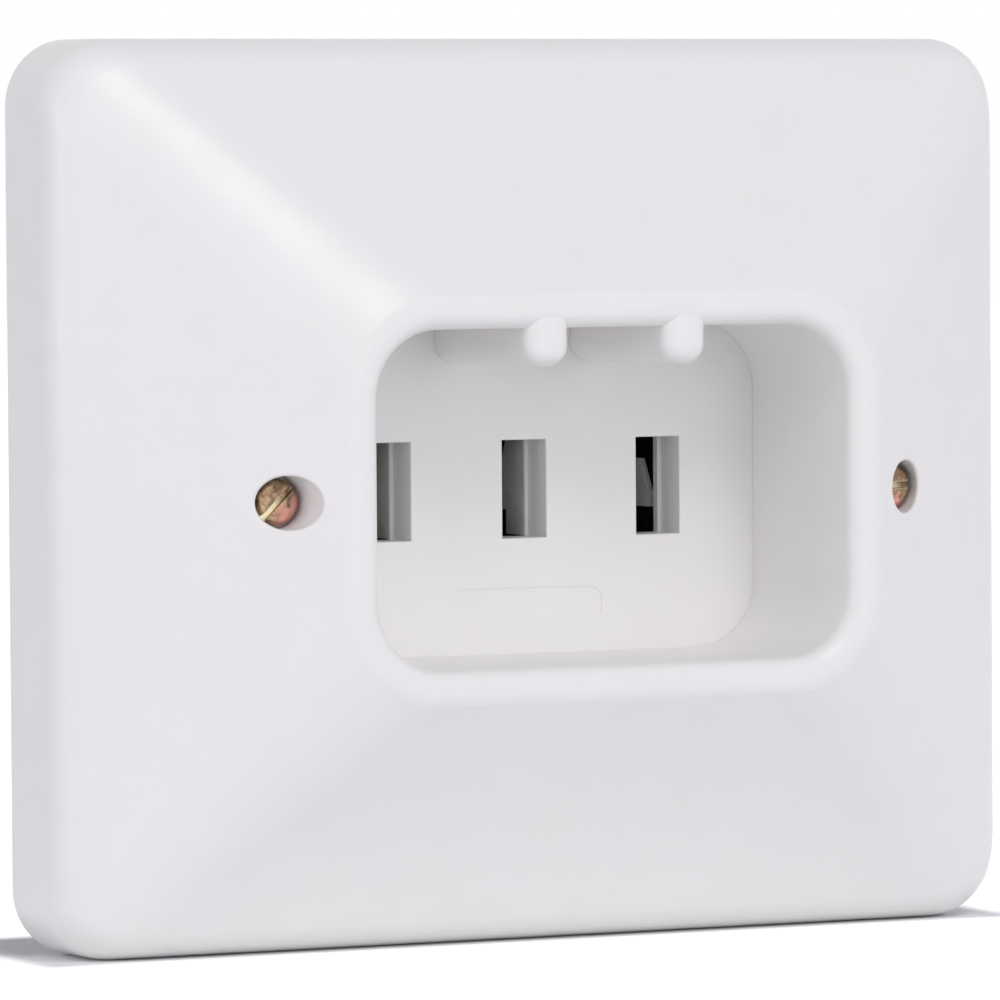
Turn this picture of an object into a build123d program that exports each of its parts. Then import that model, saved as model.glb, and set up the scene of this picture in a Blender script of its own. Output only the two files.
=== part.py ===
from build123d import *
import math
import os

# Cooker socket outlet for flush mounting, three flat blades in a deep keyed recess.
# Each piece is drawn face up: X to the right, Y up the wall and Z out of the wall towards the user,
# with Z = 0 on the wall and X = Y = 0 at the middle of the plate. The last step stands it up, so that
# in the written files Z is up, the front faces -Y and the origin is in the middle of the wall plane.

# Cover plate: skirt and sloping faces
plate_width = 140.2
plate_height = 120.0
plate_corner = 8.8
skirt_draft = 0.12          # lost on each side over the depth of the skirt
skirt_front = 14.35         # where skirt and sloping faces would meet if the edge were sharp
plate_edge_radius = 7.6
lip_front = 38.9            # front of the lip, measured from the wall
cover_wall = 2.5

# Plug recess and its lip
recess_width = 68.8
recess_height = 44.0
recess_corner = 9.0
recess_wall = 2.2
recess_floor = 10.2         # front face of the recess's floor, measured from the wall
floor_seam = 0.06           # gap between the recess wall and the floor
lip_width = 4.0
lip_outer_radius = 2.6
lip_inner_radius = 2.3

# Keying ribs under the recess's top wall
key_width = 6.2
key_drop = 5.0
key_radius = 2.6
key_setback = 0.15          # end of the rib behind the front of the lip
key_end_radius = 2.3

# Poles and blade slots
pole_pitch = 20.0
slot_width = 6.5
slot_height = 13.1
slot_depth = 5.6
slot_mouth_radius = 0.25
slot_ledge = 0.5            # the slot narrows by this much on each side behind its front part
ledge_depth = 1.2
leaf_lip = 0.3              # left of the ledge in front of the groove for the fixed leaf
leaf_groove_gap = 0.15

# Insert that forms the recess's floor
insert_margin = 1.8         # stands out past the recess wall all round
insert_face = 3.0
insert_rim = 2.0
collar_wall = 2.2
pad_width = 22.8
pad_height = 4.6
pad_corner = 1.8
pad_depth = 0.12
pad_drop = 15.5             # middle of the bare pad below the middle of the recess

# Cover screws
retainer_gap = 2.8          # between insert and retainer
cover_screw_diameter = 3.4
cover_screw_head = 6.0
cover_screw_head_height = 2.4
cover_screw_head_front = 29.9
cover_screw_length = 29.5
screw_well_diameter = 7.0
screw_boss_diameter = 10.4
screw_well_radius = 0.4     # rounding of the well's mouth
boss_web = 1.4              # webs between boss, recess wall and slope
boss_web_back = 13.6        # back edge of the webs, measured from the wall
screw_bore_clearance = 0.5
slot_angle_left = 45.0
slot_angle_right = 4.0
retainer_diameter = 7.6
retainer_thickness = 1.2

# Steel mounting frame
frame_side_gap = 4.6        # between the frame and the cover's skirt
frame_end_gap = 3.5
frame_corner = 6.0
frame_thickness = 1.2
frame_gap = 0.4             # between the frame's opening and the carrier
collar_diameter = 5.6
collar_height = 1.8
collar_gap = 0.3            # between collar and retainer
thread_clearance = 0.1
wall_slot_inset_x = 10.0    # from the frame's edge to the middle of the slot
wall_slot_inset_y = 12.0
wall_slot_width = 4.5
wall_slot_length = 10.0

# Contact carrier
terminal_drop = 35.0        # terminal screws below the middle
terminal_section = 20.0     # height of the carrier below the insert
carrier_wall = 2.2
link_side_gap = 0.4         # carrier clear of the earth link
link_rise_gap = 0.8
carrier_corner = 3.0
carrier_edge = 0.6          # broken edges at the back
chamber_width = 15.6
chamber_height = 18.4
chamber_bottom = 13.6       # behind the wall plane
chamber_floor = 2.4
cross_wall = 2.0
block_floor = 2.0
wire_notch_width = 9.4
wire_notch_depth = 12.8     # behind the wall plane
ear_radius = 5.0
ear_reach = 5.6             # ear screws outside the carrier's side
ear_top = 20.0
ear_bottom = -30.0
post_inset = 6.6            # insert screws inside the insert's edge
post_diameter = 7.4
post_clear = 1.0
wire_notch_rise = 3.0

# Contacts: one bent strip, with a fixed leaf and a sprung leaf
sheet = 0.8
contact_bend = 0.9
fixed_leaf_gap = 0.1        # in front of the fixed leaf
fixed_leaf_height = 13.0
fixed_leaf_depth = 5.3      # full height down to here in front of the narrower root
fixed_leaf_taper = 1.4
root_height = 6.4
spring_leaf_height = 6.5
spring_tip_front = 1.2
spring_tip_slant = 2.2
spring_tip_room = 0.5
spring_tip_offset = 3.7
spring_nip_offset = 2.6
spring_nip_depth = 5.0
spring_root_offset = 4.8
spring_root_depth = 9.6
tail_width = 9.0
tail_length = 41.0
tail_side_gap = 0.3
tail_rise_gap = 0.6         # carrier groove in front of the tail
earth_tab_height = 21.0

# Backing springs
clip_sheet = 0.5
clip_bend = 0.8
clip_gap = 0.06
clip_height = 4.4
clip_groove = 0.8
clip_side_gap = 0.4
clip_end_gap = 0.3          # clip stops short of the leaf's bends

# Terminals
block_size = 10.0
block_depth = 6.0
block_clearance = 0.25
terminal_screw_diameter = 4.0
terminal_screw_head = 7.4
terminal_screw_head_height = 2.6
terminal_screw_length = 11.6
clamp_size = 9.2
clamp_thickness = 1.5
wire_space = 5.0            # between tail and clamp plate with the screw backed out
clamp_lip = 0.8
clamp_lip_width = 1.2
clamp_lip_inset = 1.0
terminal_chamfer = 0.8

# Small screws and the earth link
ear_screw_diameter = 3.4
ear_screw_head = 6.2
ear_screw_head_height = 2.0
ear_screw_length = 6.0
insert_screw_diameter = 2.9
insert_screw_head = 5.2
insert_screw_head_height = 1.8
insert_screw_length = 11.0
insert_screw_reach = 5.0    # into the insert
driver_slot = 0.9
driver_slot_depth = 0.9
head_chamfer = 0.45
cover_head_crown = 0.7
screw_hole_play = 0.4       # plain holes in sheet, over the screw's diameter
link_sheet = 0.8
link_width = 7.0
link_foot = 9.0
link_bend = 1.2
link_wall_gap = 0.3
rivet_edge_gap = 0.6
link_screw_rise = 33.0
link_screw_diameter = 3.4
link_screw_head = 6.2
link_screw_head_height = 2.0
link_screw_length = 5.0
rivet_rise = 17.0
rivet_diameter = 3.0
rivet_head = 5.0
rivet_head_height = 1.0
rivet_head_chamfer = 0.4

# Values worked out from the ones above
crest_width = recess_width + 2 * lip_width
crest_height = recess_height + 2 * lip_width
crest_corner = recess_corner + lip_width
insert_width = recess_width + 2 * (recess_wall + insert_margin)
insert_height = recess_height + 2 * (recess_wall + insert_margin)
insert_corner = recess_corner + recess_wall + insert_margin
slot_bottom = recess_floor - slot_depth
insert_back = slot_bottom - ledge_depth
fixed_leaf_front = slot_bottom - leaf_lip - fixed_leaf_gap
cover_screw_x = insert_width / 2 + retainer_gap + retainer_diameter / 2
frame_width = plate_width - 2 * (cover_wall + frame_side_gap)
frame_height = plate_height - 2 * (cover_wall + frame_end_gap)
wall_slot_x = frame_width / 2 - wall_slot_inset_x
wall_slot_y = frame_height / 2 - wall_slot_inset_y
carrier_front = insert_back
carrier_low = -insert_height / 2 - terminal_section
carrier_back = -chamber_bottom - chamber_floor
block_bottom = -chamber_bottom - block_depth
section_back = block_bottom - block_floor
ledge_half = slot_width / 2 - slot_ledge
cover_screw_seat = cover_screw_head_front - cover_screw_head_height
collar_front = frame_thickness + collar_height
boss_back = collar_front + collar_gap + retainer_thickness
tail_front = sheet - chamber_bottom
clamp_back = tail_front + wire_space
clamp_front = clamp_back + clamp_thickness
poles = {"line_1": -pole_pitch, "earth": 0.0, "line_2": pole_pitch}
past = 1.0                  # cuts run this much past a face
far = 200.0


def slab(width, height, corner, back, front):
    """Rounded rectangular block between two depths."""
    return Pos(0, 0, back) * extrude(RectangleRounded(width, height, corner), front - back)


def block(x0, x1, y0, y1, z0, z1):
    """Plain box between two corners."""
    return Pos((x0 + x1) / 2, (y0 + y1) / 2, (z0 + z1) / 2) * Box(x1 - x0, y1 - y0, z1 - z0)


def rod(diameter, back, front, x=0.0, y=0.0):
    """Round bar that points out of the wall."""
    return Pos(x, y, (back + front) / 2) * Cylinder(diameter / 2, front - back)


def slotted_screw(head, head_height, shank, length, crown=0.0):
    """Slotted screw: head on Z = 0 and up, shank below, slot along X; the head is crowned or chamfered."""
    top = rod(head, 0, head_height)
    rim = top.edges().group_by(Axis.Z)[-1]
    top = fillet(rim, crown) if crown else chamfer(rim, head_chamfer)
    tip = chamfer(rod(shank, -length, 0).edges().group_by(Axis.Z)[0], shank / 6)
    half = driver_slot / 2
    slot = block(-head, head, -half, half, head_height - driver_slot_depth, head_height + past)
    return top + tip - slot


# Cover plate
def plate_body(drop, inset):
    """Skirt and sloping faces as a solid; drop lowers the slopes and inset narrows the skirt."""
    edge = skirt_front - drop
    width = plate_width - 2 * skirt_draft
    height = plate_height - 2 * skirt_draft
    corner = plate_corner - skirt_draft
    slopes = loft([
        Pos(0, 0, edge) * RectangleRounded(width, height, corner),
        Pos(0, 0, lip_front - drop) * RectangleRounded(crest_width, crest_height, crest_corner),
    ], ruled=True)
    if inset == 0:
        skirt = loft([
            RectangleRounded(plate_width, plate_height, plate_corner),
            Pos(0, 0, edge) * RectangleRounded(width, height, corner),
        ], ruled=True)
        return skirt + slopes
    column = slab(width - 2 * inset, height - 2 * inset, corner - inset, 0, lip_front)
    return (slopes + slab(width, height, corner, 0, edge)) & column


def is_well_mouth(edge, x):
    """True for the slanting edge where the screw well at x opens in the sloping face."""
    box = edge.bounding_box()
    return (abs(box.center().X - x) < 0.1 and abs(box.size.X - screw_well_diameter) < 0.1
            and box.size.Z > screw_well_radius)


def make_cover_plate():
    body = plate_body(0, 0) - slab(recess_width, recess_height, recess_corner, -past, lip_front + past)
    edge = [e for e in body.edges() if abs(e.center().Z - skirt_front) < 0.01]
    body = fillet(edge, plate_edge_radius)
    front = body.faces().sort_by(Axis.Z)[-1]
    body = fillet(front.outer_wire().edges(), lip_outer_radius)
    front = body.faces().sort_by(Axis.Z)[-1]
    body = fillet(front.inner_wires()[0].edges(), lip_inner_radius)
    shape = body

    slope = math.atan2(lip_front - skirt_front, (plate_width - crest_width) / 2)
    wall_drop = cover_wall / math.cos(slope)
    body -= plate_body(wall_drop, cover_wall)
    within_wall = plate_body(wall_drop / 2, cover_wall / 2)

    tube_width = recess_width + 2 * recess_wall
    tube_height = recess_height + 2 * recess_wall
    tube_back = recess_floor + floor_seam
    body += slab(tube_width, tube_height, recess_corner + recess_wall, tube_back, lip_front) & shape

    ceiling = recess_height / 2
    key_profile = Pos(0, ceiling - key_drop / 2) * Rectangle(key_width, key_drop)
    key_profile += Pos(0, ceiling + lip_inner_radius / 2) * Rectangle(key_width, lip_inner_radius)
    key_profile = fillet(key_profile.vertices().group_by(Axis.Y)[0], key_radius)
    key = Pos(0, 0, tube_back) * extrude(key_profile, lip_front - key_setback - tube_back)
    key = fillet(key.edges().group_by(Axis.Z)[-1].sort_by(Axis.Y)[:-1], key_end_radius)
    for x in (-pole_pitch / 2, pole_pitch / 2):
        body += Pos(x, 0, 0) * key

    for side in (-1, 1):
        x = side * cover_screw_x
        x0, x1 = sorted((side * (recess_width + recess_wall) / 2, side * plate_width / 2))
        web = block(x0, x1, -boss_web / 2, boss_web / 2, boss_web_back, lip_front)
        body += (rod(screw_boss_diameter, boss_back, lip_front, x) + web) & within_wall
        body -= rod(screw_well_diameter, cover_screw_seat, lip_front + past, x)
        bore = cover_screw_diameter + screw_bore_clearance
        body -= rod(bore, boss_back - past, cover_screw_seat + past, x)
        body = fillet([e for e in body.edges() if is_well_mouth(e, x)], screw_well_radius)
    return body


# Insert with the blade slots
def make_socket_insert():
    body = slab(insert_width, insert_height, insert_corner, insert_back, recess_floor)
    body -= slab(insert_width - 2 * insert_rim, insert_height - 2 * insert_rim, insert_corner - insert_rim,
                 insert_back - past, recess_floor - insert_face)
    for x in poles.values():
        wide = slot_width + 2 * collar_wall
        high = slot_height + 2 * collar_wall
        body += block(x - wide / 2, x + wide / 2, -high / 2, high / 2,
                      insert_back, recess_floor - insert_face)
    for x, y in insert_screw_places():
        body += rod(post_diameter, insert_back, recess_floor - insert_face, x, y)
        body -= rod(insert_screw_diameter, insert_back - past, insert_back + insert_screw_reach, x, y)
    half = slot_width / 2
    high = slot_height / 2
    groove = fixed_leaf_height / 2 + leaf_groove_gap
    for name, x in poles.items():
        body -= block(x - half, x + half, -high, high, slot_bottom, recess_floor + past)
        body -= block(x - ledge_half, x + ledge_half, -high, high, insert_back - past, recess_floor)
        leaf_side = -1 if name == "line_2" else 1
        x0, x1 = sorted((x, x + leaf_side * (ledge_half + sheet + leaf_groove_gap)))
        body -= block(x0, x1, -groove, groove, insert_back - past, slot_bottom - leaf_lip)
    slot_edges = [e for e in body.edges().filter_by(Plane.XY)
                  if abs(e.center().Z - recess_floor) < 0.01 and abs(e.center().Y) < high + 0.01
                  and abs(e.center().X) < pole_pitch + slot_width]
    body = fillet(slot_edges, slot_mouth_radius)
    pad_shape = RectangleRounded(pad_width, pad_height, pad_corner)
    pad = Pos(0, -pad_drop, recess_floor - pad_depth) * extrude(pad_shape, 2 * pad_depth)
    return body - pad


def insert_screw_places():
    x = insert_width / 2 - post_inset
    y = insert_height / 2 - post_inset
    return [(sx * x, sy * y) for sx in (-1, 1) for sy in (-1, 1)]


def ear_places():
    x = insert_width / 2 + ear_reach
    return [(sx * x, y) for sx in (-1, 1) for y in (ear_top, ear_bottom)]


# Contact carrier
def make_contact_carrier():
    half = insert_width / 2
    top = insert_height / 2
    body = block(-half, half, -top, top, carrier_back, carrier_front)
    body += block(-half, half, carrier_low, -top, section_back, carrier_front)
    body = fillet(body.edges().filter_by(Axis.Z), carrier_corner)
    body = chamfer(body.faces().sort_by(Axis.Z)[0].outer_wire().edges(), carrier_edge)
    open_to = carrier_front + past
    ear_bore = ear_screw_diameter + screw_bore_clearance
    for x, y in ear_places():
        x0, x1 = sorted((math.copysign(half - past, x), x))
        body += rod(2 * ear_radius, frame_thickness, carrier_front, x, y)
        body += block(x0, x1, y - ear_radius, y + ear_radius, frame_thickness, carrier_front)
        body -= rod(ear_bore, frame_thickness - past, open_to, x, y)

    chamber_top = chamber_height / 2
    for name, x in poles.items():
        left = x - chamber_width / 2
        right = x + chamber_width / 2
        body -= block(left, right, -chamber_top, chamber_top, -chamber_bottom, open_to)
        body -= block(left, right, chamber_top + cross_wall, top - carrier_wall, -chamber_bottom, open_to)
        body -= block(left, right, -top + cross_wall, -chamber_top - cross_wall, -chamber_bottom, open_to)
        body -= block(left, right, carrier_low + carrier_wall, -top, -chamber_bottom, open_to)
        tail_room = tail_width / 2 + tail_side_gap
        body -= block(x - tail_room, x + tail_room, -terminal_drop, 0,
                      -chamber_bottom, tail_front + tail_rise_gap)
        notch = wire_notch_width / 2
        body -= block(x - notch, x + notch, carrier_low - past, carrier_low + wire_notch_rise,
                      -wire_notch_depth, open_to)
        room = block_size + 2 * block_clearance
        body -= block(x - room / 2, x + room / 2, -terminal_drop - room / 2, -terminal_drop + room / 2,
                      block_bottom, 0)
        reach = spring_root_offset + sheet + clip_sheet
        groove = clip_height / 2 + clip_side_gap
        body -= block(x - reach, x + reach, -groove, groove, -chamber_bottom - clip_groove, 0)
    tab = link_width / 2 + link_side_gap
    body -= block(-tab, tab, 0, top - carrier_wall, -chamber_bottom, tail_front + link_sheet + link_rise_gap)
    body -= block(-tab, tab, top - carrier_wall - past, top + past, frame_thickness - link_sheet, open_to)

    side_in = pole_pitch + chamber_width / 2 + cross_wall
    side_out = half - carrier_wall
    side_half = top - post_inset - post_diameter / 2 - post_clear
    for side in (-1, 1):
        x0, x1 = sorted((side * side_in, side * side_out))
        body -= block(x0, x1, -side_half, side_half, -chamber_bottom, open_to)
    seat = insert_back + insert_screw_reach - insert_screw_length
    for x, y in insert_screw_places():
        body -= rod(insert_screw_diameter + screw_bore_clearance, seat - past, open_to, x, y)
        body -= rod(insert_screw_head + screw_bore_clearance, carrier_back - past, seat, x, y)
    return body


# Steel frame
def make_mounting_frame():
    body = slab(frame_width, frame_height, frame_corner, 0, frame_thickness)
    half = insert_width / 2 + frame_gap
    body -= block(-half, half, carrier_low - frame_gap, insert_height / 2 + frame_gap,
                  -past, frame_thickness + past)
    for x, y in ear_places():
        body -= rod(ear_screw_diameter + thread_clearance, -past, frame_thickness + past, x, y)
    for side in (-1, 1):
        x = side * cover_screw_x
        body += rod(collar_diameter, 0, collar_front, x)
        body -= rod(cover_screw_diameter + thread_clearance, -past, collar_front + past, x)
        for up in (-1, 1):
            slot = extrude(SlotOverall(wall_slot_length, wall_slot_width), frame_thickness + 2 * past)
            body -= Pos(side * wall_slot_x, up * wall_slot_y, -past) * slot
    link_bore = link_screw_diameter + thread_clearance
    return body - rod(link_bore, -past, frame_thickness + past, 0, link_screw_rise)


# Contacts, drawn with the fixed leaf on the right
def strip(points, bend, thickness, height):
    """Bent strip: a line in the plane of X and depth, thickened to both sides and given a height."""
    line = FilletPolyline(*points, radius=bend)
    flat = trace(line, line_width=thickness)
    return Rot(90, 0, 0) * extrude(flat, height / 2, both=True)


def make_contact(tab):
    fixed = ledge_half + sheet / 2
    root = -chamber_bottom + sheet / 2
    front = fixed_leaf_front
    body = strip([
        (fixed, front),
        (fixed, root),
        (-spring_root_offset, root),
        (-spring_root_offset, -spring_root_depth),
        (-spring_nip_offset, -spring_nip_depth),
        (-spring_tip_offset, spring_tip_front),
    ], contact_bend, sheet, fixed_leaf_height)
    high = fixed_leaf_height / 2
    neck = root_height / 2
    shoulder = front - fixed_leaf_depth
    leaf_side = make_face(Polyline(
        (high, front + past), (high, shoulder), (neck, shoulder - fixed_leaf_taper), (neck, -far),
        (-neck, -far), (-neck, shoulder), (-high, shoulder), (-high, front + past), close=True))
    fixed_keep = Plane.YZ.offset(ledge_half - sheet) * extrude(leaf_side, 4 * sheet)
    lift = spring_leaf_height / 2
    tip = make_face(Polyline(
        (lift, spring_tip_front - spring_tip_slant), (lift, -far), (-lift, -far),
        (-lift, spring_tip_front + spring_tip_room), close=True))
    spring_reach = 2 * spring_root_offset
    spring_keep = Plane.YZ.offset(-spring_reach) * extrude(tip, spring_reach + ledge_half - sheet)
    body = body & (fixed_keep + spring_keep)
    body += block(-tail_width / 2, tail_width / 2, -tail_length, -neck, -chamber_bottom, tail_front)
    if tab:
        body += block(-link_width / 2, link_width / 2, neck, earth_tab_height, -chamber_bottom, tail_front)
        body -= rod(rivet_diameter, -far, 0, 0, rivet_rise)
    return body - rod(terminal_screw_diameter + screw_hole_play, -far, 0, 0, -terminal_drop)


def make_backing_spring():
    outside = (sheet + clip_sheet) / 2 + clip_gap
    right = ledge_half + sheet + clip_gap + clip_sheet / 2
    web = -chamber_bottom - clip_gap - clip_sheet / 2
    return strip([
        (right, -spring_nip_depth),
        (right, web),
        (-spring_root_offset - outside, web),
        (-spring_root_offset - outside, -spring_root_depth + clip_end_gap),
        (-spring_nip_offset - outside, -spring_nip_depth + clip_end_gap),
    ], clip_bend, clip_sheet, clip_height)


# Terminals
def make_terminal_block():
    half = block_size / 2
    body = block(-half, half, -half, half, block_bottom, -chamber_bottom)
    body = chamfer(body.edges().filter_by(Axis.Z), terminal_chamfer)
    return body - rod(terminal_screw_diameter + thread_clearance, -far, 0)


def make_clamp_plate():
    half = clamp_size / 2
    body = block(-half, half, -half, half, clamp_back, clamp_front)
    body = chamfer(body.edges().filter_by(Axis.Z), terminal_chamfer)
    lip_half = half - clamp_lip_inset
    for x0, x1 in ((-half, clamp_lip_width - half), (half - clamp_lip_width, half)):
        body += block(x0, x1, -lip_half, lip_half, clamp_back - clamp_lip, clamp_back)
    return body - rod(terminal_screw_diameter + screw_hole_play, -far, 0)


def make_terminal_screw():
    return Pos(0, 0, clamp_front) * slotted_screw(
        terminal_screw_head, terminal_screw_head_height, terminal_screw_diameter, terminal_screw_length)


# Earth link and its fixings
def make_earth_link():
    back = tail_front + link_sheet / 2
    front = frame_thickness + link_sheet / 2
    wall_line = insert_height / 2 - carrier_wall - link_sheet / 2 - link_wall_gap
    path = FilletPolyline(
        (rivet_rise - rivet_head / 2 - rivet_edge_gap, back), (wall_line, back), (wall_line, front),
        (link_screw_rise + link_foot / 2, front), radius=link_bend)
    flat = trace(path, line_width=link_sheet)
    body = Plane.YZ * extrude(flat, link_width / 2, both=True)
    body -= rod(rivet_diameter, -far, 0, 0, rivet_rise)
    return body - rod(link_screw_diameter + screw_hole_play, 0, far, 0, link_screw_rise)


def make_earth_link_rivet():
    top = tail_front + link_sheet
    head = rod(rivet_head, top, top + rivet_head_height, 0, rivet_rise)
    head = chamfer(head.edges().group_by(Axis.Z)[-1], rivet_head_chamfer)
    return head + rod(rivet_diameter, -chamber_bottom, top, 0, rivet_rise)


def make_earth_link_screw():
    return Pos(0, link_screw_rise, frame_thickness + link_sheet) * slotted_screw(
        link_screw_head, link_screw_head_height, link_screw_diameter, link_screw_length)


# Cover screws, their retainers and the hidden screws
def make_cover_screw(side, angle):
    screw = slotted_screw(cover_screw_head, cover_screw_head_height, cover_screw_diameter,
                          cover_screw_length, cover_head_crown)
    return Pos(side * cover_screw_x, 0, cover_screw_seat) * Rot(0, 0, angle) * screw


def make_screw_retainers():
    ring = rod(retainer_diameter, boss_back - retainer_thickness, boss_back)
    ring -= rod(cover_screw_diameter + thread_clearance, -far, far)
    return [Pos(side * cover_screw_x, 0, 0) * ring for side in (-1, 1)]


def make_frame_screws():
    screw = slotted_screw(ear_screw_head, ear_screw_head_height, ear_screw_diameter, ear_screw_length)
    return [Pos(x, y, carrier_front) * screw for x, y in ear_places()]


def make_insert_screws():
    screw = slotted_screw(insert_screw_head, insert_screw_head_height, insert_screw_diameter,
                          insert_screw_length)
    seat = insert_back + insert_screw_reach - insert_screw_length
    return [Pos(x, y, seat) * Rot(180, 0, 0) * screw for x, y in insert_screw_places()]


pieces = {
    "cover_plate": make_cover_plate(),
    "socket_insert": make_socket_insert(),
    "contact_carrier": make_contact_carrier(),
    "mounting_frame": make_mounting_frame(),
    "cover_screw_left": make_cover_screw(-1, slot_angle_left),
    "cover_screw_right": make_cover_screw(1, slot_angle_right),
    "screw_retainers": make_screw_retainers(),
    "frame_screws": make_frame_screws(),
    "insert_screws": make_insert_screws(),
    "earth_link": make_earth_link(),
    "earth_link_rivet": make_earth_link_rivet(),
    "earth_link_screw": make_earth_link_screw(),
}
for pole, x in poles.items():
    contact = make_contact(tab=pole == "earth")
    spring = make_backing_spring()
    if pole == "line_2":
        contact = mirror(contact, Plane.YZ)
        spring = mirror(spring, Plane.YZ)
    pieces[f"contact_{pole}"] = Pos(x, 0, 0) * contact
    pieces[f"backing_spring_{pole}"] = Pos(x, 0, 0) * spring
    pieces[f"terminal_block_{pole}"] = Pos(x, -terminal_drop, 0) * make_terminal_block()
    pieces[f"clamp_plate_{pole}"] = Pos(x, -terminal_drop, 0) * make_clamp_plate()
    pieces[f"terminal_screw_{pole}"] = Pos(x, -terminal_drop, 0) * make_terminal_screw()

os.makedirs("parts", exist_ok=True)
stand_up = Rot(90, 0, 0)
for name, piece in pieces.items():
    shapes = piece if isinstance(piece, list) else [piece]
    solids = [solid for shape in shapes for solid in (stand_up * shape).solids()]
    export_step(solids[0] if len(solids) == 1 else Compound(children=solids), f"parts/{name}.step")
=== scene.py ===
import math

import bmesh
import bpy
from mathutils import Matrix, Vector


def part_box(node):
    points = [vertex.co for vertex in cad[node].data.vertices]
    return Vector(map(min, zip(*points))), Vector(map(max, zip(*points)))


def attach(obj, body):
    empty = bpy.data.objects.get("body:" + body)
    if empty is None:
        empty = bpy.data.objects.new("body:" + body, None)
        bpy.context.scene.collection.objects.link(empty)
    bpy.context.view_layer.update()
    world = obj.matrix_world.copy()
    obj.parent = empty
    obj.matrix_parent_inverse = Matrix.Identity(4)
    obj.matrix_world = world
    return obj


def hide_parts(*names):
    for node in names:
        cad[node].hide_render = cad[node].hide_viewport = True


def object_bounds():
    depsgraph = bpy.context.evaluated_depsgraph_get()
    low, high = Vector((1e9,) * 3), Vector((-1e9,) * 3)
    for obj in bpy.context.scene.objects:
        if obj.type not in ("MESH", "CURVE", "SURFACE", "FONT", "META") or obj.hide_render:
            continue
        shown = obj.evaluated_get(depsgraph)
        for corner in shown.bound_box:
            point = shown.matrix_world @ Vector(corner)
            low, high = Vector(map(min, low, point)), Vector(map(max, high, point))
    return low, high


MM = 0.001

# Camera, solved from the photograph: where it looks, from how far and from which side
LOOK_AT = Vector((1.325, 0.0, -1.88)) * MM
CAMERA_DISTANCE = 1.09455
CAMERA_LEFT = math.radians(26.0)
CAMERA_UP = math.radians(2.387)
CAMERA_ROLL = math.radians(-0.411)
FOCAL_LENGTH = 292.877
SENSOR = 36.0

# Studio
FLOOR_GLOW = 0.75
FLOOR_COLOUR = (0.96, 0.96, 0.96, 1)
FLOOR_REACH = 4.0           # from the middle to each edge
SHADOW_REACH = 5 * MM       # past this distance from the plate the floor is white to the lens
SKIRT_FRONT = 14.35 * MM    # front of the plate's skirt, from the wall

# Light from the front, from above and from behind, and the directions between which it changes
WORLD_FRONT = (0.88, 0.88, 1.0, 1)
WORLD_ABOVE = (0.22, 0.23, 0.25, 1)
WORLD_BEHIND = (0.35, 0.34, 0.37, 1)
ABOVE_RANGE = (0.3, 0.9)
BEHIND_RANGE = (-0.2, 0.4)

# Name, place, size, power in watts and colour of each lamp
SOFTBOXES = (
    ("softbox_above_front", (-0.1, -1.0, 0.95), 0.5, 4.3, (1.0, 0.96, 0.9)),
    ("softbox_far_left", (-1.42, -0.05, 0.15), 0.5, 2.3, (1.0, 1.0, 0.96)),
    ("softbox_low_front", (0.25, -1.3, 0.12), 0.3, 0.9, (1.0, 0.97, 0.85)),
)

# Colours of the finishes
MOULDING_WHITE = (0.92, 0.912, 0.9, 1)
MOULDING_WHITE_DEEP = (0.9, 0.888, 0.868, 1)
CARRIER_BLACK = (0.026, 0.036, 0.038, 1)
CARRIER_BLACK_DEEP = (0.034, 0.044, 0.046, 1)
NYLON = (0.78, 0.76, 0.69, 1)
NYLON_DEEP = (0.72, 0.69, 0.6, 1)
TIN_LIGHT = (0.86, 0.88, 0.82, 1)
TIN_DULL = (0.64, 0.66, 0.61, 1)
TIN_RUBBED = (0.88, 0.85, 0.76, 1)
ZINC_LIGHT = (0.70, 0.72, 0.75, 1)
ZINC_DULL = (0.50, 0.53, 0.56, 1)
ZINC_SHEET_RUBBED = (0.8, 0.8, 0.8, 1)
ZINC_SCREW_RUBBED = (0.85, 0.85, 0.85, 1)
PASSIVE_TAN = (0.46, 0.31, 0.20, 1)
PASSIVE_BROWN = (0.27, 0.18, 0.12, 1)
PASSIVE_PINK = (0.60, 0.30, 0.235, 1)
PASSIVE_OLIVE = (0.19, 0.125, 0.075, 1)
PASSIVE_DARK = (0.075, 0.05, 0.025, 1)
# The next colour, on the cover screws' edges, is rubbed wear and also painted glints
PASSIVE_RUBBED_AND_GLINT = (0.80, 0.74, 0.48, 1)
# The next colour is a painted highlight: a bright cream on the floor of a cover screw's slot
SLOT_HIGHLIGHT_CREAM = (0.92, 0.87, 0.62, 1)
BRASS_LIGHT = (0.78, 0.60, 0.28, 1)
BRASS_DULL = (0.50, 0.36, 0.15, 1)
BRASS_RUBBED = (0.9, 0.75, 0.42, 1)
SPRING_LIGHT = (0.33, 0.34, 0.36, 1)
SPRING_DULL = (0.16, 0.165, 0.18, 1)

# Surfaces of the mouldings and metals, with their heights in millimetres
MOULDING_SPECULAR = 0.33
WHITE_ROUGHNESS = 0.31      # varies by 0.03; where it is under 0.274, denoised renders show dark marks
TOOL_TEXTURE_HEIGHT = 0.0005
WAVINESS_HEIGHT = 0.05
GRAIN_HEIGHT = 0.004
PIT_HEIGHT = 0.002
METAL_EDGE = 0.12 * MM
METAL_RUBBED_EDGE = 0.18 * MM

# Each cover screw's colour, the direction of the copper-pink bloom on it, and where that begins, in
# millimetres from the centre
BLOOM = {"left": (PASSIVE_TAN, (0.7, 0.0, -0.7), 0.9), "right": (PASSIVE_BROWN, (0.4, 0.0, -0.9), 2.0)}
BLOOM_WANDER = 1.6          # millimetres that the bloom's edge strays to each side
BLOOM_EDGE = 0.7            # half the width of that edge, in millimetres
STAIN_START = -1.1          # the dark stains fade from here, in millimetres past the bloom's start
STAIN_END = 0.1             # to here
SCREW_METALLIC = 0.85
SCREW_EDGE = 0.2 * MM
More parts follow.
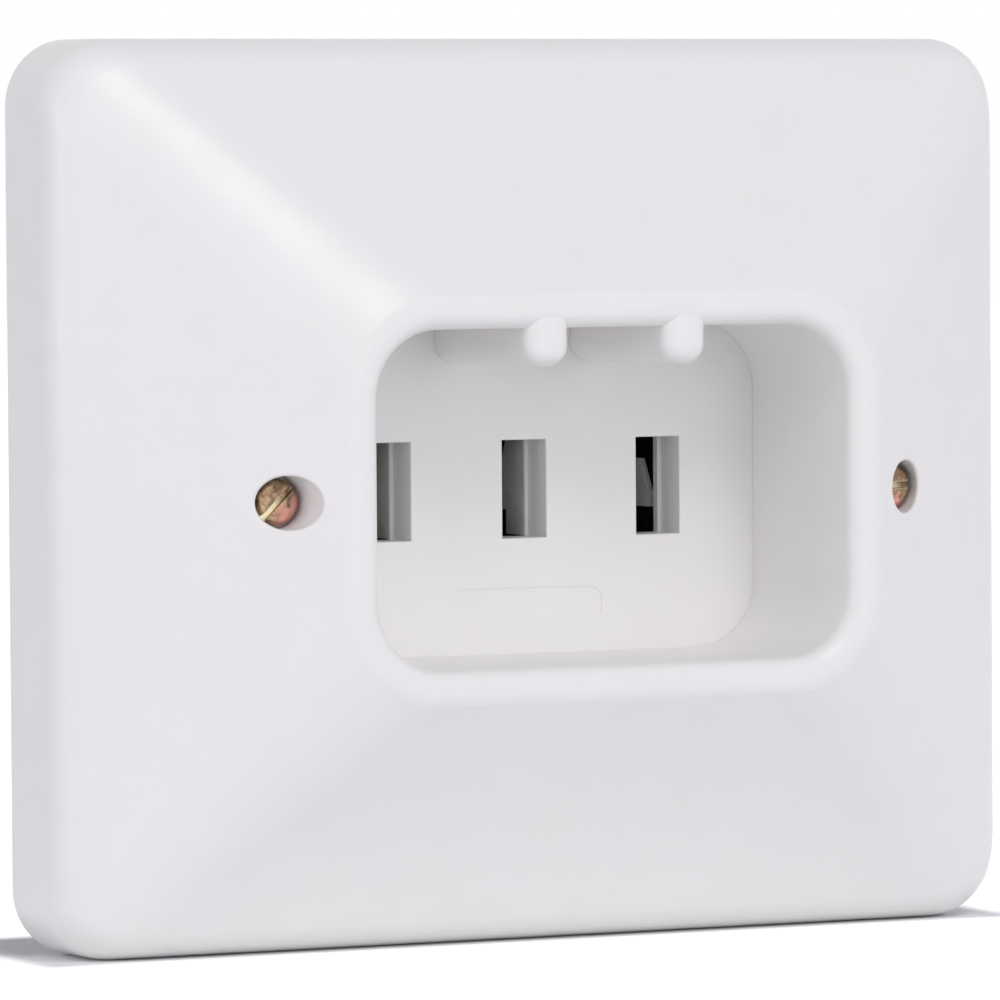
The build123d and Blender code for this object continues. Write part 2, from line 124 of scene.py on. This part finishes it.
# The cover screws' bright edges, this wide, are rubbed wear and also painted glints
SCREW_RUBBED_AND_GLINT_EDGE = 0.28 * MM
RING_PITCH = 0.2            # millimetres between the rings left by turning
RING_HEIGHT = 0.003
DENT_HEIGHT = 0.09

# The floor of a cover screw's slot is what lies past SLOT_DEPTH behind the head's face and within SLOT_REACH
# of the axis. Its painted highlight, a bright colour for the light on that floor, ends softly there, and
# grows towards the low left.
SLOT_DEPTH = 0.8 * MM
SLOT_DEPTH_SOFT = 0.05 * MM
SLOT_REACH = 2.95 * MM
SLOT_REACH_SOFT = 0.1 * MM
LOW_LEFT = (-0.7, 0.0, -0.7)
# Along LOW_LEFT, the painted highlight on the slot's floor fades in from the first of these to the second
SLOT_HIGHLIGHT_START = -1.4 * MM
SLOT_HIGHLIGHT_END = 0.4 * MM

POLES = ("line_1", "earth", "line_2")

# Screws: metric threads of 3.5 and 4 mm, as in the solids
SMALL_HEAD_HEIGHT = 2.0 * MM
SMALL_SHANK = 3.4 * MM
SMALL_PITCH = 0.6 * MM
COVER_HEAD_HEIGHT = 2.4 * MM
COVER_SCREW_PLAIN = 20.0 * MM
TERMINAL_HEAD_HEIGHT = 2.6 * MM
TERMINAL_SHANK = 4.0 * MM
TERMINAL_PITCH = 0.7 * MM
THREAD_DEPTH = 0.6134       # of the pitch
THREAD_STEPS = 28           # to each turn
ROOT_END = 0.25             # of the pitch, as are the next two
CREST_START = 0.5625
CREST_END = 0.6875
TIP_CHAMFER = 1 / 3         # of the shank's radius
SEAT_SLACK = 0.01 * MM
MERGE_DISTANCE = 0.0001 * MM
SHARP_ANGLE = math.radians(32)

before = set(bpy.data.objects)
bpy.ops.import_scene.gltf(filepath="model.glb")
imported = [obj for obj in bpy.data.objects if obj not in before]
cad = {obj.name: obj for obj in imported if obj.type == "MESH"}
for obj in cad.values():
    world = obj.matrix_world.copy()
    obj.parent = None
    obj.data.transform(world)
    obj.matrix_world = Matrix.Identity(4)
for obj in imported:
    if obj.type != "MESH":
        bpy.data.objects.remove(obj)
cad_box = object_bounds()


# Nodes
def put(tree, kind, **settings):
    """New node in the tree, with its own properties set."""
    node = tree.nodes.new(kind)
    for key, value in settings.items():
        setattr(node, key, value)
    return node


def feed(tree, socket, value):
    """Links a socket to another, or sets it to a number, vector or colour."""
    if isinstance(value, bpy.types.NodeSocket):
        tree.links.new(value, socket)
    else:
        socket.default_value = value


def math_node(tree, operation, a, b=None):
    """Math node; a and b are sockets or numbers."""
    node = put(tree, "ShaderNodeMath", operation=operation)
    feed(tree, node.inputs[0], a)
    if b is not None:
        feed(tree, node.inputs[1], b)
    return node.outputs[0]


def vector_node(tree, operation, a, b=None):
    """Vector math node; a and b are sockets or vectors. It gives a number where the operation makes one."""
    node = put(tree, "ShaderNodeVectorMath", operation=operation)
    feed(tree, node.inputs[0], a)
    if b is not None:
        feed(tree, node.inputs[1], b)
    return node.outputs["Value" if operation in ("DOT_PRODUCT", "LENGTH") else "Vector"]


def object_place(tree):
    """Place on the piece, in metres."""
    return put(tree, "ShaderNodeTexCoord").outputs["Object"]


def noise(tree, place, scale, detail=4.0, roughness=0.5, stretch=(1, 1, 1)):
    """Noise over the piece, mostly from 0.3 to 0.7, with its scale in waves per millimetre."""
    mapping = put(tree, "ShaderNodeMapping")
    mapping.inputs["Scale"].default_value = [s / MM for s in stretch]
    tree.links.new(place, mapping.inputs["Vector"])
    node = put(tree, "ShaderNodeTexNoise")
    node.inputs["Detail"].default_value = detail
    node.inputs["Roughness"].default_value = roughness
    feed(tree, node.inputs["Scale"], scale)
    tree.links.new(mapping.outputs[0], node.inputs["Vector"])
    return node.outputs["Fac"]


def spread(tree, value, low, high, to_low=0.0, to_high=1.0, interpolation="LINEAR"):
    """Stretches a value from one range to another."""
    node = put(tree, "ShaderNodeMapRange", interpolation_type=interpolation)
    for label, number in (("From Min", low), ("From Max", high), ("To Min", to_low), ("To Max", to_high)):
        node.inputs[label].default_value = number
    tree.links.new(value, node.inputs["Value"])
    return node.outputs[0]


def mix_colours(tree, share, first, second):
    """Blend of two colours; each is a socket or a colour."""
    node = put(tree, "ShaderNodeMix", data_type="RGBA")
    feed(tree, node.inputs[0], share)
    feed(tree, node.inputs[6], first)
    feed(tree, node.inputs[7], second)
    return node.outputs[2]


def mix_shaders(tree, share, first, second):
    """Blend of two shaders."""
    node = put(tree, "ShaderNodeMixShader")
    for socket, value in zip(node.inputs, (share, first, second)):
        tree.links.new(value, socket)
    return node.outputs[0]


# Shader node groups shared by the finishes
def new_group(name, inputs, outputs):
    """Empty node group; inputs hold (name, socket type, default) and outputs (name, socket type)."""
    group = bpy.data.node_groups.new(name, "ShaderNodeTree")
    for label, kind, default in inputs:
        socket = group.interface.new_socket(name=label, in_out="INPUT", socket_type=kind)
        socket.default_value = default
    for label, kind in outputs:
        group.interface.new_socket(name=label, in_out="OUTPUT", socket_type=kind)
    return group, group.nodes.new("NodeGroupInput"), group.nodes.new("NodeGroupOutput")


def moulded_skin_group():
    """Skin of an injection moulding: fine texture from the tool, slow waviness and faint mottling."""
    group, given, made = new_group(
        "moulded_skin",
        [("Light", "NodeSocketColor", (1, 1, 1, 1)), ("Deep", "NodeSocketColor", (0.9, 0.9, 0.9, 1)),
         ("Roughness", "NodeSocketFloat", 0.35)],
        [("Color", "NodeSocketColor"), ("Roughness", "NodeSocketFloat"), ("Height", "NodeSocketFloat")])
    place = object_place(group)
    fine = noise(group, place, 5.0, 2.0)
    slow = noise(group, place, 0.035, 3.0)
    cloud = noise(group, place, 0.12, 4.0, 0.6)
    share = spread(group, cloud, 0.35, 0.75, 0.0, 0.55)
    color = mix_colours(group, share, given.outputs["Light"], given.outputs["Deep"])
    rough = math_node(group, "ADD", given.outputs["Roughness"], spread(group, cloud, 0.3, 0.7, -0.03, 0.03))
    height = math_node(group, "ADD", math_node(group, "MULTIPLY", fine, TOOL_TEXTURE_HEIGHT),
                       math_node(group, "MULTIPLY", slow, WAVINESS_HEIGHT))
    group.links.new(color, made.inputs["Color"])
    group.links.new(rough, made.inputs["Roughness"])
    group.links.new(height, made.inputs["Height"])
    return group


def metal_skin_group():
    """Plated or bare metal: blotchy colour, fine grain drawn out along one direction, and small pits."""
    group, given, made = new_group(
        "metal_skin",
        [("Light", "NodeSocketColor", (1, 1, 1, 1)), ("Dull", "NodeSocketColor", (0.5, 0.5, 0.5, 1)),
         ("Roughness", "NodeSocketFloat", 0.35), ("Blotch Scale", "NodeSocketFloat", 0.4),
         ("Dullness", "NodeSocketFloat", 0.5)],
        [("Color", "NodeSocketColor"), ("Roughness", "NodeSocketFloat"), ("Height", "NodeSocketFloat")])
    place = object_place(group)
    blotch = noise(group, place, given.outputs["Blotch Scale"], 5.0, 0.65)
    grain = noise(group, place, 1.0, 3.0, 0.6, (0.6, 5.0, 5.0))
    pits = noise(group, place, 4.0, 2.0)
    share = math_node(group, "MULTIPLY", spread(group, blotch, 0.35, 0.7), given.outputs["Dullness"])
    color = mix_colours(group, share, given.outputs["Light"], given.outputs["Dull"])
    rough = math_node(group, "ADD", given.outputs["Roughness"], spread(group, blotch, 0.3, 0.7, -0.06, 0.1))
    rough = math_node(group, "ADD", rough, spread(group, grain, 0.3, 0.7, -0.04, 0.04))
    height = math_node(group, "ADD", math_node(group, "MULTIPLY", grain, GRAIN_HEIGHT),
                       math_node(group, "MULTIPLY", pits, PIT_HEIGHT))
    group.links.new(color, made.inputs["Color"])
    group.links.new(rough, made.inputs["Roughness"])
    group.links.new(height, made.inputs["Height"])
    return group


def wear_and_glint_edge_group():
    """Mask that is 1 on sharp edges, broken up by a fine noise: on the metals the edges worn by handling,
    and on the cover screws both rubbed wear and painted glints.
    """
    group, given, made = new_group(
        "wear_and_glint_edge", [("Radius", "NodeSocketFloat", 0.0002), ("Amount", "NodeSocketFloat", 1.0)],
        [("Mask", "NodeSocketFloat")])
    soft = put(group, "ShaderNodeBevel", samples=6)
    group.links.new(given.outputs["Radius"], soft.inputs["Radius"])
    flat = put(group, "ShaderNodeNewGeometry")
    likeness = vector_node(group, "DOT_PRODUCT", soft.outputs[0], flat.outputs["Normal"])
    edge = spread(group, likeness, 0.995, 0.9)
    broken = spread(group, noise(group, object_place(group), 2.5, 4.0, 0.7), 0.35, 0.6)
    mask = math_node(group, "MULTIPLY", math_node(group, "MULTIPLY", edge, broken), given.outputs["Amount"])
    group.links.new(mask, made.inputs["Mask"])
    return group


def turned_rings_group():
    """Rings left by turning, round an axis along Y through Centre."""
    group, given, made = new_group(
        "turned_rings", [("Centre", "NodeSocketVector", (0, 0, 0)), ("Pitch", "NodeSocketFloat", 0.12)],
        [("Height", "NodeSocketFloat")])
    offset = vector_node(group, "SUBTRACT", object_place(group), given.outputs["Centre"])
    distance = vector_node(group, "LENGTH", vector_node(group, "MULTIPLY", offset, (1 / MM, 0, 1 / MM)))
    turns = math_node(group, "DIVIDE", distance, given.outputs["Pitch"])
    wave = math_node(group, "SINE", math_node(group, "MULTIPLY", turns, 2 * math.pi))
    group.links.new(wave, made.inputs["Height"])
    return group


skin_of_moulding = moulded_skin_group()
skin_of_metal = metal_skin_group()
wear_and_glint_edge = wear_and_glint_edge_group()
turned_rings = turned_rings_group()


# Finishes
def empty_tree(owner, output):
    """Node tree of a material or world with only its output, and that output's surface socket."""
    owner.use_nodes = True
    tree = owner.node_tree
    tree.nodes.clear()
    return tree, put(tree, output).inputs["Surface"]


def new_finish(name):
    """Material with a Principled shader and nothing else."""
    material = bpy.data.materials.new(name)
    tree, surface = empty_tree(material, "ShaderNodeOutputMaterial")
    shader = put(tree, "ShaderNodeBsdfPrincipled")
    tree.links.new(shader.outputs[0], surface)
    return material, tree, shader


def place_group(tree, group, **values):
    """A shared effect placed in a material with its own values."""
    node = put(tree, "ShaderNodeGroup", node_tree=group)
    for label, value in values.items():
        node.inputs[label.replace("_", " ")].default_value = value
    return node


def raise_surface(tree, shader, height, edge_radius=0.0):
    """Bump from a height in millimetres, over edges that are softened by edge_radius."""
    bump = put(tree, "ShaderNodeBump")
    bump.inputs["Distance"].default_value = MM
    bump.inputs["Strength"].default_value = 1.0
    tree.links.new(height, bump.inputs["Height"])
    if edge_radius:
        soft = put(tree, "ShaderNodeBevel", samples=6)
        soft.inputs["Radius"].default_value = edge_radius
        tree.links.new(soft.outputs[0], bump.inputs["Normal"])
    tree.links.new(bump.outputs[0], shader.inputs["Normal"])


def moulding(name, light, deep, roughness, edge_radius=0.0):
    """Moulded plastic."""
    material, tree, shader = new_finish(name)
    shader.inputs["Specular IOR Level"].default_value = MOULDING_SPECULAR
    skin = place_group(tree, skin_of_moulding, Light=light, Deep=deep, Roughness=roughness)
    tree.links.new(skin.outputs["Color"], shader.inputs["Base Color"])
    tree.links.new(skin.outputs["Roughness"], shader.inputs["Roughness"])
    raise_surface(tree, shader, skin.outputs["Height"], edge_radius)
    return material


def metal(name, light, dull, roughness, blotch, dullness, worn=None, metallic=1.0):
    """Sheet, plated or bare metal; worn is the colour on edges worn by handling."""
    material, tree, shader = new_finish(name)
    shader.inputs["Metallic"].default_value = metallic
    skin = place_group(tree, skin_of_metal, Light=light, Dull=dull, Roughness=roughness, Blotch_Scale=blotch,
                       Dullness=dullness)
    color = skin.outputs["Color"]
    if worn is not None:
        edges = place_group(tree, wear_and_glint_edge, Radius=METAL_RUBBED_EDGE, Amount=0.8)
        color = mix_colours(tree, edges.outputs["Mask"], color, worn)
    tree.links.new(color, shader.inputs["Base Color"])
    tree.links.new(skin.outputs["Roughness"], shader.inputs["Roughness"])
    raise_surface(tree, shader, skin.outputs["Height"], METAL_EDGE)
    return material


def yellow_screw(name, low, high, light, toward, start):
    """Yellow passivated screw: a light colour and olive, with rings from turning and a copper-pink bloom
    that begins start millimetres from the centre, in the direction toward."""
    material, tree, shader = new_finish(name)
    shader.inputs["Metallic"].default_value = SCREW_METALLIC
    centre = (low + high) / 2
    place = object_place(tree)
    offset = vector_node(tree, "SUBTRACT", place, centre)
    across = vector_node(tree, "DOT_PRODUCT", offset, Vector(toward) / MM)
    wander = spread(tree, noise(tree, place, 0.55, 3.0, 0.55), 0.3, 0.7, -BLOOM_WANDER, BLOOM_WANDER)
    lean = math_node(tree, "ADD", across, wander)
    olive = spread(tree, noise(tree, place, 0.8, 4.0, 0.6), 0.4, 0.6)
    color = mix_colours(tree, olive, light, PASSIVE_OLIVE)
    pink = spread(tree, lean, start - BLOOM_EDGE, start + BLOOM_EDGE)
    color = mix_colours(tree, pink, color, PASSIVE_PINK)
    stain = spread(tree, noise(tree, place, 1.3, 4.0, 0.6), 0.55, 0.7, 0.0, 0.85)
    stained = spread(tree, lean, start + STAIN_END, start + STAIN_START)
    color = mix_colours(tree, math_node(tree, "MULTIPLY", stain, stained), color, PASSIVE_DARK)
    # Painted highlight: a bright cream on the slot's floor, growing towards the low left, for the light
    # there
    color = mix_colours(tree, painted_slot_highlight(tree, offset, low.y - centre.y), color, SLOT_HIGHLIGHT_CREAM)
    # Bright edges: rubbed wear, and painted glints on the head's and the slot's edges
    edges = place_group(tree, wear_and_glint_edge, Radius=SCREW_RUBBED_AND_GLINT_EDGE, Amount=1.0)
    color = mix_colours(tree, edges.outputs["Mask"], color, PASSIVE_RUBBED_AND_GLINT)
    tree.links.new(color, shader.inputs["Base Color"])
    rough = spread(tree, noise(tree, place, 1.6, 4.0, 0.6), 0.3, 0.7, 0.3, 0.46)
    tree.links.new(rough, shader.inputs["Roughness"])
    rings = place_group(tree, turned_rings, Centre=centre, Pitch=RING_PITCH)
    dents = noise(tree, place, 1.4, 3.0, 0.6)
    height = math_node(tree, "ADD", math_node(tree, "MULTIPLY", rings.outputs["Height"], RING_HEIGHT),
                       math_node(tree, "MULTIPLY", dents, DENT_HEIGHT))
    raise_surface(tree, shader, height, SCREW_EDGE)
    return material


def painted_slot_highlight(tree, offset, front):
    """1 on the floor of a screw's slot, growing towards the low left, for the painted highlight that stands
    in for the light on that floor; front is the head's face, measured as offset is."""
    parts = put(tree, "ShaderNodeSeparateXYZ")
    tree.links.new(offset, parts.inputs[0])
    floor = front + SLOT_DEPTH
    deep = spread(tree, parts.outputs["Y"], floor, floor + SLOT_DEPTH_SOFT)
    distance = vector_node(tree, "LENGTH", vector_node(tree, "MULTIPLY", offset, (1, 0, 1)))
    within = spread(tree, distance, SLOT_REACH, SLOT_REACH - SLOT_REACH_SOFT)
    down_left = vector_node(tree, "DOT_PRODUCT", offset, LOW_LEFT)
    # Painted highlight, stronger towards the low left
    lit_low_left = spread(tree, down_left, SLOT_HIGHLIGHT_START, SLOT_HIGHLIGHT_END)
    return math_node(tree, "MULTIPLY", math_node(tree, "MULTIPLY", deep, within), lit_low_left)


def dress(node, material):
    """Gives a solid its finish."""
    piece = cad[node]
    piece.data.materials.clear()
    piece.data.materials.append(material)


def finish_solids():
    """Finishes of all the solids, and threads on the screws that show their shanks."""
    white = moulding("white_moulding_finish", MOULDING_WHITE, MOULDING_WHITE_DEEP, WHITE_ROUGHNESS)
    dress("cover_plate", white)
    dress("socket_insert", white)
    black = moulding("black_moulding_finish", CARRIER_BLACK, CARRIER_BLACK_DEEP, 0.5, 0.3 * MM)
    dress("contact_carrier", black)
    nylon = moulding("nylon_finish", NYLON, NYLON_DEEP, 0.45, 0.2 * MM)
    dress("screw_retainers", nylon)
    zinc = metal("zinc_sheet_finish", ZINC_LIGHT, ZINC_DULL, 0.34, 0.15, 0.6, ZINC_SHEET_RUBBED)
    dress("mounting_frame", zinc)
    zinc_small = metal("zinc_screw_finish", ZINC_LIGHT, ZINC_DULL, 0.28, 0.7, 0.6, ZINC_SCREW_RUBBED)
    dress("insert_screws", zinc_small)
    for node in ("frame_screws", "earth_link_screw"):
        cut_threads(node, zinc_small, SMALL_HEAD_HEIGHT, SMALL_SHANK, SMALL_PITCH)
    brass = metal("brass_finish", BRASS_LIGHT, BRASS_DULL, 0.3, 0.5, 0.55, BRASS_RUBBED)
    dress("earth_link", brass)
    dress("earth_link_rivet", brass)
    tin = metal("tinned_contact_finish", TIN_LIGHT, TIN_DULL, 0.5, 0.35, 0.7, TIN_RUBBED, 0.1)
    spring = metal("spring_steel_finish", SPRING_LIGHT, SPRING_DULL, 0.3, 0.5, 0.6)
    for pole in POLES:
        dress(f"contact_{pole}", tin)
        dress(f"backing_spring_{pole}", spring)
        dress(f"terminal_block_{pole}", brass)
        dress(f"clamp_plate_{pole}", zinc_small)
        cut_threads(f"terminal_screw_{pole}", zinc_small, TERMINAL_HEAD_HEIGHT, TERMINAL_SHANK,
                    TERMINAL_PITCH)
    for side, bloom in BLOOM.items():
        node = f"cover_screw_{side}"
        finish = yellow_screw(f"{node}_finish", *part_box(node), *bloom)
        cut_threads(node, finish, COVER_HEAD_HEIGHT, SMALL_SHANK, SMALL_PITCH,
                    COVER_SCREW_PLAIN)


# Screws with cut threads
def span(corners, axis):
    """Lowest and highest value of the corners along one axis."""
    values = [corner[axis] for corner in corners]
    return min(values), max(values)


def solids_of(mesh):
    """The mesh's separate solids, each as a list of its faces' corner lists, all as vectors."""
    shape = bmesh.new()
    shape.from_mesh(mesh)
    bmesh.ops.remove_doubles(shape, verts=shape.verts, dist=MERGE_DISTANCE)
    waiting = set(shape.faces)
    solids = []
    for first in shape.faces:
        if first not in waiting:
            continue
        waiting.discard(first)
        reached = [first]
        for face in reached:
            for edge in face.edges:
                for other in edge.link_faces:
                    if other in waiting:
                        waiting.discard(other)
                        reached.append(other)
        solids.append([[corner.co.copy() for corner in face.verts] for face in reached])
    shape.free()
    return solids


def add_thread(shape, centre, seat, length, radius, pitch, plain):
    """Shank with a cut thread from the seat towards +Y, with no thread on its first stretch, plain long."""
    root = radius - THREAD_DEPTH * pitch
    tip = radius - radius * TIP_CHAMFER
    profile = ((0.0, root), (ROOT_END, root), (CREST_START, radius), (CREST_END, radius))
    steps = math.ceil((length / pitch + 2) * THREAD_STEPS)

    def corner(angle, out, along):
        return shape.verts.new((centre.x + out * math.cos(angle), seat + along,
                                centre.z - out * math.sin(angle)))

    rows = []
    for step in range(steps + 1):
        row = []
        for share, out in profile:
            along = min(max(pitch * (step / THREAD_STEPS - 1 + share), 0.0), length)
            out = radius if along < plain else out
            row.append(corner(2 * math.pi * step / THREAD_STEPS, min(out, tip + length - along), along))
        rows.append(row)
    for step in range(steps - THREAD_STEPS):
        here, ahead = rows[step], rows[step + 1]
        below, below_ahead = rows[step + THREAD_STEPS][0], rows[step + THREAD_STEPS + 1][0]
        for face in zip(here, ahead, ahead[1:] + [below_ahead], here[1:] + [below]):
            low, high = span([vert.co for vert in face], 1)
            if high > seat and low < seat + length:
                shape.faces.new(face)
    end = [corner(2 * math.pi * step / THREAD_STEPS, tip, length) for step in range(THREAD_STEPS)]
    shape.faces.new(end)


def cut_threads(node, material, head_height, diameter, pitch, plain=0.0):
    """Same screws with the heads as modelled and a real thread on each shank."""
    shape = bmesh.new()
    for faces in solids_of(cad[node].data):
        corners = [corner for face in faces for corner in face]
        front, back = span(corners, 1)
        seat = front + head_height
        for face in faces:
            if span(face, 1)[1] < seat + SEAT_SLACK:
                shape.faces.new([shape.verts.new(corner) for corner in face])
        head = [corner for corner in corners if corner.y < seat]
        centre = Vector((sum(span(head, 0)) / 2, 0.0, sum(span(head, 2)) / 2))
        add_thread(shape, centre, seat, back - seat, diameter / 2, pitch, plain)
    bmesh.ops.remove_doubles(shape, verts=shape.verts, dist=MERGE_DISTANCE)
    bmesh.ops.recalc_face_normals(shape, faces=shape.faces)
    mesh = bpy.data.meshes.new(f"{node}_threaded")
    shape.to_mesh(mesh)
    shape.free()
    mesh.shade_smooth()
    mesh.set_sharp_from_angle(angle=SHARP_ANGLE)
    mesh.materials.append(material)
    piece = bpy.data.objects.new(f"{node}_threaded", mesh)
    bpy.context.scene.collection.objects.link(piece)
    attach(piece, "root")
    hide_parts(node)


# Studio
def white_for_lens(tree):
    """1 for camera, glossy and transmission rays, which see the background as white."""
    path = put(tree, "ShaderNodeLightPath")
    seen = math_node(tree, "MAXIMUM", path.outputs["Is Camera Ray"], path.outputs["Is Glossy Ray"])
    return math_node(tree, "MAXIMUM", seen, path.outputs["Is Transmission Ray"])


def make_world():
    """White to the lens, and a soft even light on everything else."""
    world = bpy.data.worlds.new("studio")
    bpy.context.scene.world = world
    tree, surface = empty_tree(world, "ShaderNodeOutputWorld")
    toward = put(tree, "ShaderNodeSeparateXYZ")
    tree.links.new(put(tree, "ShaderNodeTexCoord").outputs["Generated"], toward.inputs[0])
    above = spread(tree, toward.outputs["Z"], *ABOVE_RANGE, interpolation="SMOOTHSTEP")
    behind = spread(tree, toward.outputs["Y"], *BEHIND_RANGE, interpolation="SMOOTHSTEP")
    color = mix_colours(tree, above, WORLD_FRONT, WORLD_ABOVE)
    color = mix_colours(tree, behind, color, WORLD_BEHIND)
    light = put(tree, "ShaderNodeBackground")
    tree.links.new(color, light.inputs["Color"])
    white = put(tree, "ShaderNodeBackground")
    white.inputs["Color"].default_value = (1, 1, 1, 1)
    tree.links.new(mix_shaders(tree, white_for_lens(tree), light.outputs[0], white.outputs[0]), surface)


def outside_plate(tree):
    """0 on the floor under the plate, rising to 1 at SHADOW_REACH from it."""
    low, high = cad_box
    low = Vector((low.x, -SKIRT_FRONT, low.z))
    offset = vector_node(tree, "SUBTRACT", object_place(tree), (low + high) / 2)
    past = vector_node(tree, "SUBTRACT", vector_node(tree, "ABSOLUTE", offset), (high - low) / 2)
    distance = vector_node(tree, "LENGTH", vector_node(tree, "MAXIMUM", past, (0, 0, 0)))
    return spread(tree, distance, 0.0, SHADOW_REACH)


def make_floor():
    """Pale floor that the plate's lower edge stands on; to the lens it is white but keeps its shadows."""
    mesh = bpy.data.meshes.new("floor")
    sides = ((-FLOOR_REACH, -FLOOR_REACH), (FLOOR_REACH, -FLOOR_REACH), (FLOOR_REACH, FLOOR_REACH),
             (-FLOOR_REACH, FLOOR_REACH))
    mesh.from_pydata([(x, y, cad_box[0].z) for x, y in sides], [], [(0, 1, 2, 3)])
    floor = bpy.data.objects.new("floor", mesh)
    bpy.context.scene.collection.objects.link(floor)
    material = bpy.data.materials.new("floor_finish")
    tree, surface = empty_tree(material, "ShaderNodeOutputMaterial")
    matt = put(tree, "ShaderNodeBsdfDiffuse")
    matt.inputs["Color"].default_value = FLOOR_COLOUR
    glow = put(tree, "ShaderNodeEmission")
    tree.links.new(math_node(tree, "MULTIPLY", outside_plate(tree), FLOOR_GLOW), glow.inputs["Strength"])
    bright = put(tree, "ShaderNodeAddShader")
    tree.links.new(matt.outputs[0], bright.inputs[0])
    tree.links.new(glow.outputs[0], bright.inputs[1])
    tree.links.new(mix_shaders(tree, white_for_lens(tree), matt.outputs[0], bright.outputs[0]), surface)
    mesh.materials.append(material)


def make_softbox(name, place, size, power, colour):
    """Square soft light that faces the middle of the plate."""
    data = bpy.data.lights.new(name, "AREA")
    data.size = size
    data.energy = power
    data.color = colour
    lamp = bpy.data.objects.new(name, data)
    bpy.context.scene.collection.objects.link(lamp)
    lamp.location = place
    lamp.rotation_euler = (-Vector(place)).to_track_quat("-Z", "Y").to_euler()


def make_camera():
    """Camera at the photograph's place and angle."""
    data = bpy.data.cameras.new("camera")
    data.lens = FOCAL_LENGTH
    data.sensor_width = SENSOR
    camera = bpy.data.objects.new("camera", data)
    bpy.context.scene.collection.objects.link(camera)
    ahead = Vector((math.sin(CAMERA_LEFT) * math.cos(CAMERA_UP), math.cos(CAMERA_LEFT) * math.cos(CAMERA_UP),
                    -math.sin(CAMERA_UP)))
    level = Vector((math.cos(CAMERA_LEFT), -math.sin(CAMERA_LEFT), 0))
    upright = level.cross(ahead)
    right = math.cos(CAMERA_ROLL) * level + math.sin(CAMERA_ROLL) * upright
    up = math.cos(CAMERA_ROLL) * upright - math.sin(CAMERA_ROLL) * level
    turn = Matrix((right, up, -ahead)).transposed().to_4x4()
    camera.matrix_world = Matrix.Translation(LOOK_AT - ahead * CAMERA_DISTANCE) @ turn
    bpy.context.scene.camera = camera


make_camera()
finish_solids()
make_world()
make_floor()
for softbox in SOFTBOXES:
    make_softbox(*softbox)

bpy.context.scene.view_settings.view_transform = "Standard"
